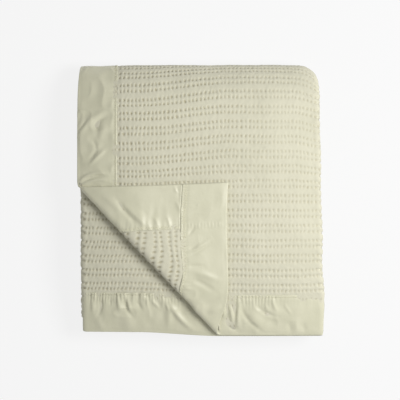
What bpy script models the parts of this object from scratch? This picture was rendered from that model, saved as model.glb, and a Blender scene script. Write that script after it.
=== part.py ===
"""A cellular wool blanket bound with satin, folded in thirds across and in quarters along.

Every piece is first made on the blanket laid flat, where u runs across it from one bound side,
v runs along it from one bound end, and h is the height off the middle of the cloth. There it is
cut wherever the blanket folds. Then fold_up() takes each of its points to the folded pack.

Metres, +Z up. The origin is on the ground, under the middle of the pack.
"""

import math
from collections import namedtuple

import bmesh
import bpy
from mathutils import Matrix, Vector

# The pack as it lies.
PACK_WIDTH = 0.3345
PACK_DEPTH = 0.370
LAYER_PITCH = 0.0074  # from one layer to the next, where the pack is thickest
SLAB_PITCH = 3 * LAYER_PITCH  # a slab is the three layers of the fold in thirds

# The cloth and its bindings.
CLOTH_THICKNESS = 0.0032
HEM_THICKNESS = 0.0008  # the cloth pressed flat between the two sides of a binding
SATIN_THICKNESS = 0.0007
CLEARANCE = 0.0003
SEAM_GAP = 0.0006  # from a binding's sewn edge to the cloth's full thickness
BINDING = 0.0605  # the width of a binding on either side of the cloth

# How far a fold's nose reaches past its middle, as a share of the fold's half height.
ACROSS_STRETCH = 1.3
ALONG_STRETCH = 1.25

LEFT = -PACK_WIDTH / 2
RIGHT = PACK_WIDTH / 2
FRONT = -PACK_DEPTH / 2
BACK = PACK_DEPTH / 2
HALF_CLOTH = CLOTH_THICKNESS / 2
SIDE_NOSE = ACROSS_STRETCH * LAYER_PITCH / 2 + HALF_CLOTH
BACK_NOSE = ALONG_STRETCH * (1.5 * SLAB_PITCH + LAYER_PITCH) + HALF_CLOTH
FRONT_NOSE = ALONG_STRETCH * (0.5 * SLAB_PITCH + LAYER_PITCH) + HALF_CLOTH
LEFT_FOLD_INSET = 0.0065  # the fold under the top layer lies this far inside its bound edge
FRONT_FOLD_INSET = 0.0058
NOSE_Y = BACK - BACK_NOSE

# The margins slope down at the left and the front, so from above they are narrower than they are
# flat. Each is drawn in by this much, and its flat edge would come to lie here.
LEFT_DRAW = 0.0055
LOWER_LEFT_DRAW = 0.0075  # the bound side under the top layer lies this much further in
FRONT_DRAW = 0.0048
LEFT_EDGE = LEFT - LEFT_DRAW
FRONT_EDGE = FRONT - FRONT_DRAW
NEAR_ROLL = 0.042  # closer than this to the turned-back corner's roll, they widen again

# Straight runs of the cloth, in order: where each starts and finishes, how high it lies as a
# count of pitches, and how far its slab lies to the side of the top one.
Run = namedtuple("Run", "start finish level aside")
ACROSS_RUNS = (
    Run(LEFT_EDGE, RIGHT - SIDE_NOSE, 1, 0.0),
    Run(RIGHT - SIDE_NOSE, LEFT_EDGE + LEFT_FOLD_INSET + SIDE_NOSE, 0, 0.0),
    Run(LEFT_EDGE + LEFT_FOLD_INSET + SIDE_NOSE, RIGHT - 0.004, -1, 0.0),
)
ALONG_RUNS = (
    Run(FRONT_EDGE, NOSE_Y, 3.5, 0.0),
    Run(NOSE_Y, FRONT_EDGE + FRONT_FOLD_INSET + FRONT_NOSE, 0.5, -0.0015),
    Run(FRONT_EDGE + FRONT_FOLD_INSET + FRONT_NOSE, NOSE_Y, 1.5, -0.0020),
    Run(NOSE_Y, FRONT_EDGE + 0.0035, 2.5, 0.0010),
)

# The pack is thickest in the middle. Each row is one way down from there: where it starts, where
# it ends, and the share of the height lost by its end. Where two meet, both are lost.
Fall = namedtuple("Fall", "axis start finish loss")
FALLS = (
    Fall("x", 0.060, RIGHT, 0.12),
    Fall("x", -0.060, LEFT, 0.22),
    Fall("y", -0.040, FRONT, 0.37),
    Fall("y", 0.060, BACK, 0.30),
)

# The corner turned back over the top layer. The outer side of its roll runs between two points,
# tight at the bound edges and loose between them. CORNER is where the corner comes to lie.
ROLL_START = Vector((LEFT - 0.0015, 0.0205))
ROLL_FINISH = Vector((0.0243, FRONT))
ROLL_RADIUS = 0.0075
ROLL_EDGE_RADIUS = 0.0035
CORNER = Vector((0.0385, 0.0240))
EDGE_BOW = 0.0105  # how far the turned-back end bulges to the right of a straight line
FLAP_REST = 0.0062  # the middle of the turned-back cloth over the middle of the layer under it
FLAP_SETTLE = 0.060

# Small unevenness of the outline: how far the front is drawn back on its left, and the right side
# drawn in at the back; the rounding of the back's right corner and how much of the fold there it
# takes away; and a wavy right side, with the place of one of its crests.
FRONT_SKEW = 0.0055
SKEW_FROM_X = 0.030
SKEW_TO_X = -0.090
BACK_DRAW = 0.0046
CORNER_ROUNDING = 0.0275
CORNER_SHARE = 0.5
WAVE_HEIGHT = 0.0005
WAVE_LENGTH = 0.095
WAVE_CREST_Y = -0.140
WAVE_FROM_X = 0.090

# Where the cloth is cut so that it can bend.
X_LINES = (-0.112, -0.060, 0.060, 0.110, 0.145)
Y_LINES = (-0.095, -0.045, 0.050, 0.095)
ROLL_STEPS = 7
FLAP_CUTS = (0.035, 0.055, 0.080, 0.110)  # distances past the start of the roll
HEM_WRAP_STEPS = 2

# A fold of up to this radius is cut into this many steps.
FoldSteps = namedtuple("FoldSteps", "radius steps")
FOLD_STEPS = (FoldSteps(0.005, 4), FoldSteps(0.015, 5), FoldSteps(0.040, 7))

SMALL = 1e-5
SLOPE_STEP = 5e-5
COLLECTION = "wool_blanket"

# A piece of the way to and fro, from where it begins on the flat cloth. A run's radius is 0.
Section = namedtuple("Section", "begin length start way level side aside radius stretch next_aside")


def to_and_fro(runs, pitch, stretch):
    """The sections of a cloth that goes to and fro: its runs, with a half turn between each two."""
    sections = []
    begin = 0.0
    for index, run in enumerate(runs):
        side = -1 if index % 2 else 1
        way = 1 if run.finish > run.start else -1
        length = abs(run.finish - run.start)
        level = run.level * pitch
        straight = Section(begin, length, run.start, way, level, side, run.aside, 0.0, 0.0, run.aside)
        sections.append(straight)
        begin += length
        if index + 1 == len(runs):
            break
        following = runs[index + 1]
        radius = (level - following.level * pitch) / 2
        length = math.pi * abs(radius) * (1 + stretch) / 2
        bend = straight._replace(
            begin=begin,
            length=length,
            start=run.finish,
            level=level - radius,
            radius=radius,
            stretch=stretch,
            next_aside=following.aside,
        )
        sections.append(bend)
        begin += length
    return sections


ACROSS = to_and_fro(ACROSS_RUNS, LAYER_PITCH, ACROSS_STRETCH)
ALONG = to_and_fro(ALONG_RUNS, SLAB_PITCH, ALONG_STRETCH)
FLAT_WIDTH = ACROSS[-1].begin + ACROSS[-1].length
FLAT_LENGTH = ALONG[-1].begin + ALONG[-1].length


def travel(sections, distance, offset):
    """The place and height of a point this far along the sections, and how far aside it lies."""
    section = [s for s in sections if s.begin <= distance or s is sections[0]][-1]
    past = distance - section.begin
    if section.radius == 0:
        return section.start + section.way * past, section.level + section.side * offset, section.aside
    turn = math.pi * past / section.length
    radius = section.radius + section.side * offset
    place = section.start + section.way * section.stretch * abs(radius) * math.sin(turn)
    height = section.level + radius * math.cos(turn)
    aside = section.aside + (section.next_aside - section.aside) * (1 - math.cos(turn)) / 2
    return place, height, aside


def ease(value):
    """0 up to 0, 1 from 1, and a smooth step between."""
    share = min(max(value, 0.0), 1.0)
    return share * share * (3 - 2 * share)


def crown(x, y):
    """The share of its full height that the pack has over this point."""
    share = 1.0
    for fall in FALLS:
        along = x if fall.axis == "x" else y
        past = (along - fall.start) / (fall.finish - fall.start)
        share *= 1 - fall.loss * max(past, 0.0) ** 2
    return share


ROLL_WAY = (ROLL_FINISH - ROLL_START).normalized()
ROLL_OUT = Vector((ROLL_WAY.y, -ROLL_WAY.x))  # square to the roll, away from the pack


def roll_radius(point):
    """The roll's radius where this point of the top layer goes round it."""
    share = (point - ROLL_START).dot(ROLL_WAY) / (ROLL_FINISH - ROLL_START).length
    bulge = math.sin(math.pi * min(max(share, 0.0), 1.0))
    return ROLL_EDGE_RADIUS + (ROLL_RADIUS - ROLL_EDGE_RADIUS) * bulge


def rolled_over(point):
    """The point turned round the roll, how far past the roll it lies flat again, and its rise."""
    radius = roll_radius(point)
    past = (point - ROLL_START).dot(ROLL_OUT) + radius + HALF_CLOTH
    over = past - math.pi * radius
    if past <= 0:
        return point, 0.0, 0.0
    if over < 0:
        turn = past / radius
        return point + (radius * math.sin(turn) - past) * ROLL_OUT, 0.0, radius * (1 - math.cos(turn))
    rise = FLAP_REST + (2 * radius - FLAP_REST) * (1 - ease(over / FLAP_SETTLE))
    return point - (past + over) * ROLL_OUT, over, rise


def drawn_in(place, edge, draw, near):
    """Where a place lies once the edge is drawn in: near the roll, all of it moves with the edge."""
    share = min(max(1 - (place - edge) / BINDING, 0.0), 1.0)
    return place + draw * (share + (1 - share) * near)


UNROLLED_CORNER = Vector((LEFT, FRONT))
ROLLED_CORNER, CORNER_OVER, _ = rolled_over(UNROLLED_CORNER)
TURNED_END = ROLL_FINISH.x - LEFT  # the length of bound end that is turned back


def turn_back(x, y):
    """Where the top layer's point goes once the corner is turned back, and its rise off that layer."""
    point = Vector((x, y))
    moved, over, rise = rolled_over(point)
    pulled = moved + (over / CORNER_OVER) * (CORNER - ROLLED_CORNER)
    end_share = min(max((x - LEFT) / TURNED_END, 0.0), 1.0)
    bow = EDGE_BOW * math.sin(math.pi * end_share**2) * ease(over / ROLL_RADIUS)
    return pulled.x + bow, pulled.y, rise


def outline(x, y):
    """The plan's small unevenness: a skewed front, a rounded back corner and a wavy right side."""
    front_share = ease((NOSE_Y - y) / (NOSE_Y - FRONT))
    left_share = ease((SKEW_FROM_X - x) / (SKEW_FROM_X - SKEW_TO_X))
    placed_y = y + FRONT_SKEW * front_share**3 * left_share
    if y > NOSE_Y:
        rounding = min(max((x - RIGHT + CORNER_ROUNDING) / CORNER_ROUNDING, 0.0), 1.0)
        placed_y -= (y - NOSE_Y) * CORNER_SHARE * (1 - math.sqrt(1 - rounding**2))
    right_share = ease((x - WAVE_FROM_X) / (RIGHT - WAVE_FROM_X))
    wave = 1 - math.cos(2 * math.pi * (y - WAVE_CREST_Y) / WAVE_LENGTH)
    drawn = BACK_DRAW * (1 - front_share) + WAVE_HEIGHT * wave
    return x - drawn * right_share, placed_y


def middle(u, v):
    """The point of the folded pack that the middle of the cloth reaches, from its place laid flat."""
    x, layer, _ = travel(ACROSS, u, 0.0)
    y, height, aside = travel(ALONG, v, layer)
    on_top = u < ACROSS[0].length and v < ALONG[0].length
    inside_roll = (ROLL_START - Vector((x, y))).dot(ROLL_OUT)
    near = ease(1 - inside_roll / NEAR_ROLL) if on_top else 0.0
    left_draw = LEFT_DRAW
    if u < ACROSS[0].length:
        left_draw += LOWER_LEFT_DRAW * ease((v - ALONG[1].begin) / ALONG[1].length)
    x = drawn_in(x, LEFT_EDGE, left_draw, near)
    y = drawn_in(y, FRONT_EDGE, FRONT_DRAW, near)
    rise = 0.0
    if on_top:
        x, y, rise = turn_back(x, y)
    x += aside
    lifted = HALF_CLOTH + (height - LAYER_PITCH / 2) * crown(x, y) + rise
    placed_x, placed_y = outline(x, y)
    return Vector((placed_x, placed_y, lifted))


def fold_up(flat):
    """The folded place of a point (u, v, h) of the flat blanket."""
    u, v, h = flat
    across = middle(u + SLOPE_STEP, v) - middle(u - SLOPE_STEP, v)
    along = middle(u, v + SLOPE_STEP) - middle(u, v - SLOPE_STEP)
    return middle(u, v) + h * across.cross(along).normalized()


def stations(sections, lines):
    """The flat distances at which a cloth over these sections is cut."""
    cuts = []
    for section in sections:
        if section.radius == 0:
            reached = sorted(section.way * (line - section.start) for line in lines)
            cuts += [section.begin + past for past in reached if SMALL < past < section.length - SMALL]
            if section is not sections[0]:
                cuts.append(section.begin)
        else:
            steps = next(row.steps for row in FOLD_STEPS if abs(section.radius) < row.radius)
            cuts += [section.begin + section.length * step / steps for step in range(steps)]
    return cuts


def box(low, high):
    """A closed box between two corners."""
    mesh = bmesh.new()
    size = high - low
    place = Matrix.Translation((low + high) / 2) @ Matrix.Diagonal((*size, 1))
    bmesh.ops.create_cube(mesh, size=1, matrix=place)
    return mesh


def cut(mesh, point, normal, faces=None):
    """Cuts the faces, or the whole mesh, along a plane."""
    faces = list(mesh.faces) if faces is None else faces
    edges = {edge for face in faces for edge in face.edges}
    verts = {vert for face in faces for vert in face.verts}
    bmesh.ops.bisect_plane(
        mesh, geom=[*verts, *edges, *faces], dist=1e-7, plane_co=point, plane_no=normal
    )


def cut_for_folds(mesh):
    """Cuts a flat piece wherever the blanket bends, and along the roll of the turned-back corner."""
    for distance in stations(ACROSS, X_LINES):
        cut(mesh, Vector((distance, 0, 0)), Vector((1, 0, 0)))
    for distance in stations(ALONG, Y_LINES):
        cut(mesh, Vector((0, distance, 0)), Vector((0, 1, 0)))
    roll_cuts = [math.pi * ROLL_RADIUS * step / ROLL_STEPS for step in range(ROLL_STEPS + 1)]
    roll_begin = ROLL_START - (ROLL_RADIUS + HALF_CLOTH) * ROLL_OUT - UNROLLED_CORNER
    lines = [(roll_begin + past * ROLL_OUT, ROLL_OUT) for past in (*roll_cuts, *FLAP_CUTS)]
    lines.append((Vector((BINDING / 2, 0)), Vector((1, 0))))
    for point, normal in lines:
        on_top = [face for face in mesh.faces if is_top_layer(face.calc_center_median())]
        cut(mesh, point.to_3d(), normal.to_3d(), on_top)


def is_top_layer(flat):
    """Whether a flat place belongs to the part of the cloth that lies on top of the pack."""
    return flat.x < ACROSS[0].length and flat.y < ALONG[0].length


def blanket_cloth():
    """The one cloth, thinner in the margins that the bindings hold."""
    inset = HEM_RADIUS + SATIN_THICKNESS / 2 + CLEARANCE
    low = Vector((inset, inset, -HALF_CLOTH))
    high = Vector((FLAT_WIDTH - inset, FLAT_LENGTH - inset, HALF_CLOTH))
    mesh = box(low, high)
    margin = BINDING + SEAM_GAP
    for distance in (margin, margin + CLEARANCE):
        cut(mesh, Vector((distance, 0, 0)), Vector((1, 0, 0)))
        cut(mesh, Vector((FLAT_WIDTH - distance, 0, 0)), Vector((1, 0, 0)))
        cut(mesh, Vector((0, distance, 0)), Vector((0, 1, 0)))
        cut(mesh, Vector((0, FLAT_LENGTH - distance, 0)), Vector((0, 1, 0)))
    cut_for_folds(mesh)
    for vert in mesh.verts:
        u, v, _ = vert.co
        if min(u, FLAT_WIDTH - u, v, FLAT_LENGTH - v) < margin + SMALL:
            vert.co.z *= HEM_THICKNESS / CLOTH_THICKNESS
    return mesh


# From the middle of the cloth to the middle of the satin on either side of it.
HEM_RADIUS = HEM_THICKNESS / 2 + CLEARANCE + SATIN_THICKNESS / 2


def binding(begin, finish, place):
    """A ribbon folded round an edge of the flat cloth, from begin to finish along that edge.

    place(inward, along) gives the flat u and v of a point this far in from the edge."""
    turn_length = math.pi * HEM_RADIUS
    reach = turn_length / 2 + BINDING - HEM_RADIUS - SATIN_THICKNESS / 2
    half = SATIN_THICKNESS / 2
    mesh = box(Vector((-reach, begin, -half)), Vector((reach, finish, half)))
    for step in range(HEM_WRAP_STEPS + 1):
        across = turn_length * (step / HEM_WRAP_STEPS - 0.5)
        cut(mesh, Vector((across, 0, 0)), Vector((1, 0, 0)))
    for vert in mesh.verts:
        across, along, off = vert.co
        radius = HEM_RADIUS + off
        turn = max(min(across / HEM_RADIUS, math.pi / 2), -math.pi / 2)
        straight = abs(across) - abs(turn) * HEM_RADIUS
        inward = HEM_RADIUS + SATIN_THICKNESS / 2 - radius * math.cos(turn) + straight
        u, v = place(inward, along)
        vert.co = (u, v, radius * math.sin(turn))
    cut_for_folds(mesh)
    return mesh


def material(name, colour, roughness):
    """A plain finish."""
    made = bpy.data.materials.new(name)
    made.use_nodes = True
    shader = made.node_tree.nodes["Principled BSDF"]
    shader.inputs["Base Color"].default_value = (*colour, 1)
    shader.inputs["Roughness"].default_value = roughness
    shader.inputs["Metallic"].default_value = 0
    return made


def fold_and_add(name, mesh, finish, collection):
    """Folds a flat piece up and adds it to the collection."""
    for vert in mesh.verts:
        vert.co = fold_up(vert.co)
    bmesh.ops.triangulate(mesh, faces=mesh.faces)
    bmesh.ops.recalc_face_normals(mesh, faces=mesh.faces)
    data = bpy.data.meshes.new(name)
    mesh.to_mesh(data)
    mesh.free()
    data.materials.append(finish)
    collection.objects.link(bpy.data.objects.new(name, data))


def main():
    for old in list(bpy.data.objects):
        bpy.data.objects.remove(old)
    collection = bpy.data.collections.new(COLLECTION)
    bpy.context.scene.collection.children.link(collection)
    wool = material("cream_wool", (0.72, 0.69, 0.55), 0.95)
    satin = material("cream_satin", (0.74, 0.72, 0.58), 0.35)

    fold_and_add("blanket_cloth", blanket_cloth(), wool, collection)
    side_begin = BINDING + CLEARANCE
    side_finish = FLAT_LENGTH - side_begin
    bindings = (
        ("side_binding_outer", side_begin, side_finish, lambda e, s: (e, s)),
        ("side_binding_inner", side_begin, side_finish, lambda e, s: (FLAT_WIDTH - e, s)),
        ("end_binding_outer", 0.0, FLAT_WIDTH, lambda e, s: (s, e)),
        ("end_binding_inner", 0.0, FLAT_WIDTH, lambda e, s: (s, FLAT_LENGTH - e)),
    )
    for name, begin, finish, place in bindings:
        fold_and_add(name, binding(begin, finish, place), satin, collection)


main()
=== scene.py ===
"""The looks of a folded cellular wool blanket with satin bindings, seen from straight above.

Every piece is made on the blanket laid flat, where u runs across it from one bound side, v runs
along it from one bound end, and h is the height off the middle of the cloth. placed() takes flat
places to the folded pack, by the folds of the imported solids, but with a flatter roll and with the
front right corner drawn out. slid() lays the weave askew on the pack, and the creases ripple it.

Metres, +Z up. The origin is on the ground, under the middle of the pack.
"""

import itertools
import math
from collections import defaultdict, namedtuple

import bpy
import numpy as np
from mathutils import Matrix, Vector


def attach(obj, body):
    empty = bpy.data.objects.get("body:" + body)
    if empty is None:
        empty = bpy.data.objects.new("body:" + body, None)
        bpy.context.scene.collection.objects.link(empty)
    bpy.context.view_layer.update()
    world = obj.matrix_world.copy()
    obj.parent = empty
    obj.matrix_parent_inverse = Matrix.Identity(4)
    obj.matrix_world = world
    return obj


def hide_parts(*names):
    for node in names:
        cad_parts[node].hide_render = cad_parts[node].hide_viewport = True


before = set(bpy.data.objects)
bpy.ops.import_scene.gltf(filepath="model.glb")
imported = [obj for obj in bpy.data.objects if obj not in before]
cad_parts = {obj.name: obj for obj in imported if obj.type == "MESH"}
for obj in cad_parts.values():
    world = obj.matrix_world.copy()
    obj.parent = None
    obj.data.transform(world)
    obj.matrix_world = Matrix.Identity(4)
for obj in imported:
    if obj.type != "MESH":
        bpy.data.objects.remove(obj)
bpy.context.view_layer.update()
MM = 0.001

# ==== The folded pack, with the sizes of its solids ====

PACK_WIDTH = 0.3345
PACK_DEPTH = 0.370
LAYER_PITCH = 0.0074  # from one layer to the next, where the pack is thickest
SLAB_PITCH = 3 * LAYER_PITCH  # a slab is the three layers of the fold in thirds
HALF_CLOTH = 0.0016
BINDING = 0.0605  # the width of a binding on either side of the cloth

# How far a fold's nose reaches past its middle, as a share of the fold's half height.
ACROSS_STRETCH = 1.3
ALONG_STRETCH = 1.25

LEFT = -PACK_WIDTH / 2
RIGHT = PACK_WIDTH / 2
FRONT = -PACK_DEPTH / 2
BACK = PACK_DEPTH / 2
SIDE_NOSE = ACROSS_STRETCH * LAYER_PITCH / 2 + HALF_CLOTH
BACK_NOSE = ALONG_STRETCH * (1.5 * SLAB_PITCH + LAYER_PITCH) + HALF_CLOTH
FRONT_NOSE = ALONG_STRETCH * (0.5 * SLAB_PITCH + LAYER_PITCH) + HALF_CLOTH
LEFT_FOLD_INSET = 0.0065  # the fold under the top layer lies this far inside its bound edge
FRONT_FOLD_INSET = 0.0058
NOSE_Y = BACK - BACK_NOSE

# The margins slope down at the left and the front, so from above they are narrower than they are
# flat. Each is drawn in by this much, and its flat edge would come to lie here.
LEFT_DRAW = 0.0055
LOWER_LEFT_DRAW = 0.0075  # the bound side under the top layer lies this much further in
FRONT_DRAW = 0.0048
LEFT_EDGE = LEFT - LEFT_DRAW
FRONT_EDGE = FRONT - FRONT_DRAW
NEAR_ROLL = 0.042  # closer than this to the turned-back corner's roll, they widen again
LEFT_NOSE_X = LEFT_EDGE + LEFT_FOLD_INSET + SIDE_NOSE
FRONT_NOSE_Y = FRONT_EDGE + FRONT_FOLD_INSET + FRONT_NOSE

# Straight runs of the cloth, in order: where each starts and finishes, how high it lies as a
# count of pitches, and how far its slab lies to the side of the top one.
Run = namedtuple("Run", "start finish level aside")
ACROSS_RUNS = (
    Run(LEFT_EDGE, RIGHT - SIDE_NOSE, 1, 0.0),
    Run(RIGHT - SIDE_NOSE, LEFT_NOSE_X, 0, 0.0),
    Run(LEFT_NOSE_X, RIGHT - 0.004, -1, 0.0),
)
ALONG_RUNS = (
    Run(FRONT_EDGE, NOSE_Y, 3.5, 0.0),
    Run(NOSE_Y, FRONT_NOSE_Y, 0.5, -0.0015),
    Run(FRONT_NOSE_Y, NOSE_Y, 1.5, -0.0020),
    Run(NOSE_Y, FRONT_EDGE + 0.0035, 2.5, 0.0010),
)

# The pack is thickest in the middle. Each row is one way down from there: where it starts, where
# it ends, and the share of the height lost by its end. Where two meet, both are lost.
Fall = namedtuple("Fall", "axis start finish loss")
FALLS = (
    Fall("x", 0.060, RIGHT, 0.12),
    Fall("x", -0.060, LEFT, 0.22),
    Fall("y", -0.040, FRONT, 0.37),
    Fall("y", 0.060, BACK, 0.30),
)

# The corner turned back over the top layer. The outer side of its roll runs between two points,
# tight at the bound edges and loose between them. CORNER is where the corner comes to lie.
ROLL_START = np.array((LEFT - 0.0015, 0.0205))
ROLL_FINISH = np.array((0.0243, FRONT))
ROLL_RADIUS = 0.0075
ROLL_EDGE_RADIUS = 0.0035
ROLL_FLATNESS = 0.74  # the roll's height, as a share of a round one's
CORNER = np.array((0.0385, 0.0240))
EDGE_BOW = 0.0105  # how far the turned-back end bulges to the right of a straight line
BOW_FROM = -0.006  # distances past the roll between which the bulge comes in
BOW_TO = 0.024
FLAP_REST = 0.0062  # the middle of the turned-back cloth over the middle of the layer under it
FLAP_SETTLE = 0.060
ROLL_LENGTH = float(np.linalg.norm(ROLL_FINISH - ROLL_START))
ROLL_WAY = (ROLL_FINISH - ROLL_START) / ROLL_LENGTH
ROLL_OUT = np.array((ROLL_WAY[1], -ROLL_WAY[0]))  # square to the roll, away from the pack

# Small unevenness of the outline: how far the front is drawn back on its left, and the right side
# drawn in at the back and out at the front; the rounding of the back's right corner and how much
# of the fold there it takes away; and a wavy right side, with the place of one of its crests.
FRONT_SKEW = 0.0055
SKEW_FROM_X = 0.030
SKEW_TO_X = -0.090
BACK_DRAW = 0.0046
FRONT_SPREAD = 0.0030
SPREAD_FROM_Y = -0.085
SPREAD_TO_Y = -0.145
CORNER_ROUNDING = 0.0275
CORNER_SHARE = 0.5
WAVE_HEIGHT = 0.0005
WAVE_LENGTH = 0.095
WAVE_CREST_Y = -0.140
WAVE_FROM_X = 0.090
SLOPE_STEP = 5e-5

# A piece of the way to and fro, from where it begins on the flat cloth. A run's radius is 0.
Section = namedtuple("Section", "begin length start way level side aside radius stretch next_aside")


def to_and_fro(runs, pitch, stretch):
    """The sections of a cloth that goes to and fro: its runs, with a half turn between each two."""
    sections = []
    begin = 0.0
    for index, run in enumerate(runs):
        side = -1 if index % 2 else 1
        way = 1 if run.finish > run.start else -1
        length = abs(run.finish - run.start)
        level = run.level * pitch
        straight = Section(begin, length, run.start, way, level, side, run.aside, 0.0, 0.0, run.aside)
        sections.append(straight)
        begin += length
        if index + 1 == len(runs):
            break
        following = runs[index + 1]
        radius = (level - following.level * pitch) / 2
        length = math.pi * abs(radius) * (1 + stretch) / 2
        bend = straight._replace(begin=begin, length=length, start=run.finish, level=level - radius)
        sections.append(bend._replace(radius=radius, stretch=stretch, next_aside=following.aside))
        begin += length
    return sections


ACROSS = to_and_fro(ACROSS_RUNS, LAYER_PITCH, ACROSS_STRETCH)
ALONG = to_and_fro(ALONG_RUNS, SLAB_PITCH, ALONG_STRETCH)
FLAT_WIDTH = ACROSS[-1].begin + ACROSS[-1].length
FLAT_LENGTH = ALONG[-1].begin + ALONG[-1].length


def travel(sections, distance, offset):
    """The places and heights of points this far along the sections, and how far aside they lie."""
    begins = [section.begin for section in sections]
    index = np.clip(np.searchsorted(begins, distance, side="right") - 1, 0, None)
    at = Section(*(np.array(column)[index] for column in zip(*sections)))
    past = distance - at.begin
    on_run = at.radius == 0
    turn = np.where(on_run, 0.0, math.pi * past / at.length)
    radius = at.radius + at.side * offset
    bent = at.start + at.way * at.stretch * np.abs(radius) * np.sin(turn)
    place = np.where(on_run, at.start + at.way * past, bent)
    height = at.level + np.where(on_run, at.side * offset, radius * np.cos(turn))
    aside = at.aside + (at.next_aside - at.aside) * (1 - np.cos(turn)) / 2
    return place, height, aside


def ease(value):
    """0 up to 0, 1 from 1, and a smooth step between."""
    share = np.clip(value, 0.0, 1.0)
    return share * share * (3 - 2 * share)


def ramp(value, start, finish):
    """0 up to the start, 1 from the finish, and a smooth step between, either way round."""
    return ease((value - start) / (finish - start))


def blend(first, second, share):
    return first + (second - first) * share


def crown(x, y):
    """The share of its full height that the pack has over these points."""
    share = 1.0
    for fall in FALLS:
        along = x if fall.axis == "x" else y
        past = (along - fall.start) / (fall.finish - fall.start)
        share = share * (1 - fall.loss * np.maximum(past, 0.0) ** 2)
    return share


def rolled_over(x, y):
    """Points turned round the roll, how far past the roll they are, and how much they rise."""
    from_start = np.stack((x, y), -1) - ROLL_START
    share = from_start @ ROLL_WAY / ROLL_LENGTH
    bulge = np.sin(math.pi * np.clip(share, 0.0, 1.0))
    radius = blend(ROLL_EDGE_RADIUS, ROLL_RADIUS, bulge)
    past = from_start @ ROLL_OUT + radius + HALF_CLOTH
    over = past - math.pi * radius
    turn = np.clip(past / radius, 0.0, math.pi)
    top = 2 * ROLL_FLATNESS * radius
    settled = FLAP_REST + (top - FLAP_REST) * (1 - ease(over / FLAP_SETTLE))
    shift = np.where(over < 0, radius * np.sin(turn) - past, -past - over)
    rise = np.where(over < 0, top * (1 - np.cos(turn)) / 2, settled)
    shift = np.where(past <= 0, 0.0, shift)
    rise = np.where(past <= 0, 0.0, rise)
    return x + shift * ROLL_OUT[0], y + shift * ROLL_OUT[1], over, rise


ROLLED_X, ROLLED_Y, CORNER_OVER, _ = rolled_over(np.array(LEFT), np.array(FRONT))
TURNED_END = ROLL_FINISH[0] - LEFT


def turn_back(x, y):
    """Where the top layer's points go once the corner is turned back, and their rise."""
    moved_x, moved_y, past_roll, rise = rolled_over(x, y)
    over = np.maximum(past_roll, 0.0)
    end_share = np.clip((x - LEFT) / TURNED_END, 0.0, 1.0)
    bow = EDGE_BOW * np.sin(math.pi * end_share**2) * ramp(past_roll, BOW_FROM, BOW_TO)
    pull = over / CORNER_OVER
    return moved_x + pull * (CORNER[0] - ROLLED_X) + bow, moved_y + pull * (CORNER[1] - ROLLED_Y), rise


def drawn_in(place, edge, draw, near):
    """Where places lie once the edge is drawn in: near the roll, all of it moves with the edge."""
    share = np.clip(1 - (place - edge) / BINDING, 0.0, 1.0)
    return place + draw * (share + (1 - share) * near)


def outline(x, y):
    """The plan's small unevenness: a skewed front, a rounded back corner and a wavy right side."""
    front_share = ramp(y, NOSE_Y, FRONT)
    left_share = ramp(x, SKEW_FROM_X, SKEW_TO_X)
    rounding = np.clip((x - RIGHT + CORNER_ROUNDING) / CORNER_ROUNDING, 0.0, 1.0)
    drawn = np.maximum(y - NOSE_Y, 0.0) * CORNER_SHARE * (1 - np.sqrt(1 - rounding**2))
    right_share = ramp(x, WAVE_FROM_X, RIGHT)
    wave = 1 - np.cos(2 * math.pi * (y - WAVE_CREST_Y) / WAVE_LENGTH)
    spread = FRONT_SPREAD * ramp(y, SPREAD_FROM_Y, SPREAD_TO_Y)
    inward = (BACK_DRAW * (1 - front_share) + WAVE_HEIGHT * wave - spread) * right_share
    return x - inward, y + FRONT_SKEW * front_share**3 * left_share - drawn


def is_top_layer(u, v):
    """Whether flat places belong to the part of the cloth that lies on top of the pack."""
    return (u < ACROSS[0].length) & (v < ALONG[0].length)


def middle(u, v):
    """The points of the folded pack that the cloth's middle would reach without slides or creases."""
    x, layer, _ = travel(ACROSS, u, 0.0)
    y, height, aside = travel(ALONG, v, layer)
    on_top = is_top_layer(u, v)
    inside_roll = (ROLL_START - np.stack((x, y), -1)) @ ROLL_OUT
    near = np.where(on_top, ease(1 - inside_roll / NEAR_ROLL), 0.0)
    lower = np.where(u < ACROSS[0].length, ease((v - ALONG[1].begin) / ALONG[1].length), 0.0)
    x = drawn_in(x, LEFT_EDGE, LEFT_DRAW + LOWER_LEFT_DRAW * lower, near)
    y = drawn_in(y, FRONT_EDGE, FRONT_DRAW, near)
    turned_x, turned_y, rise = turn_back(x, y)
    x = np.where(on_top, turned_x, x)
    y = np.where(on_top, turned_y, y)
    x = x + aside
    lifted = HALF_CLOTH + (height - LAYER_PITCH / 2) * crown(x, y) + np.where(on_top, rise, 0.0)
    placed_x, placed_y = outline(x, y)
    return np.stack((placed_x, placed_y, lifted), -1)


# ==== The weave: double rows of holes along the blanket's width, with plain bands between ====

HOLE_PITCH = 5.5 * MM
BAND_PITCH = 20.2 * MM
U_STEPS = 4  # steps of the finest mesh to a hole pitch
V_STEPS = 15  # and to a band pitch
U_STEP = HOLE_PITCH / U_STEPS
V_STEP = BAND_PITCH / V_STEPS
ROW_OFFSET = 3 * V_STEP  # from a band's middle to each of its two rows of holes
SEAM = BINDING + 0.3 * MM  # from an edge of the flat cloth to where its weave starts to show
FIRST_HOLE_U = SEAM + 2 * U_STEP
FIRST_BAND_V = SEAM + 9.7 * MM
HOLE_HALF_WIDTH = 1.25 * MM
HOLE_HALF_LENGTH = 2.15 * MM
HOLE_DEPTH = 1.5 * MM
HOLE_CORE = 0.25  # a hole's floor, and how far its slope reaches past it, as shares of its half size
HOLE_SLOPE = 0.95
STRAND_RISE = 0.35 * MM
STRANDS_END = 6.2 * MM  # the strands between the holes stop this far from a band's middle
STRANDS_FADE = 1.8 * MM
ROW_DIP = 0.3 * MM
FOLDED_DIP = 2.2  # round the folds at the sides, the rows dip this many times deeper still

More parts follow.
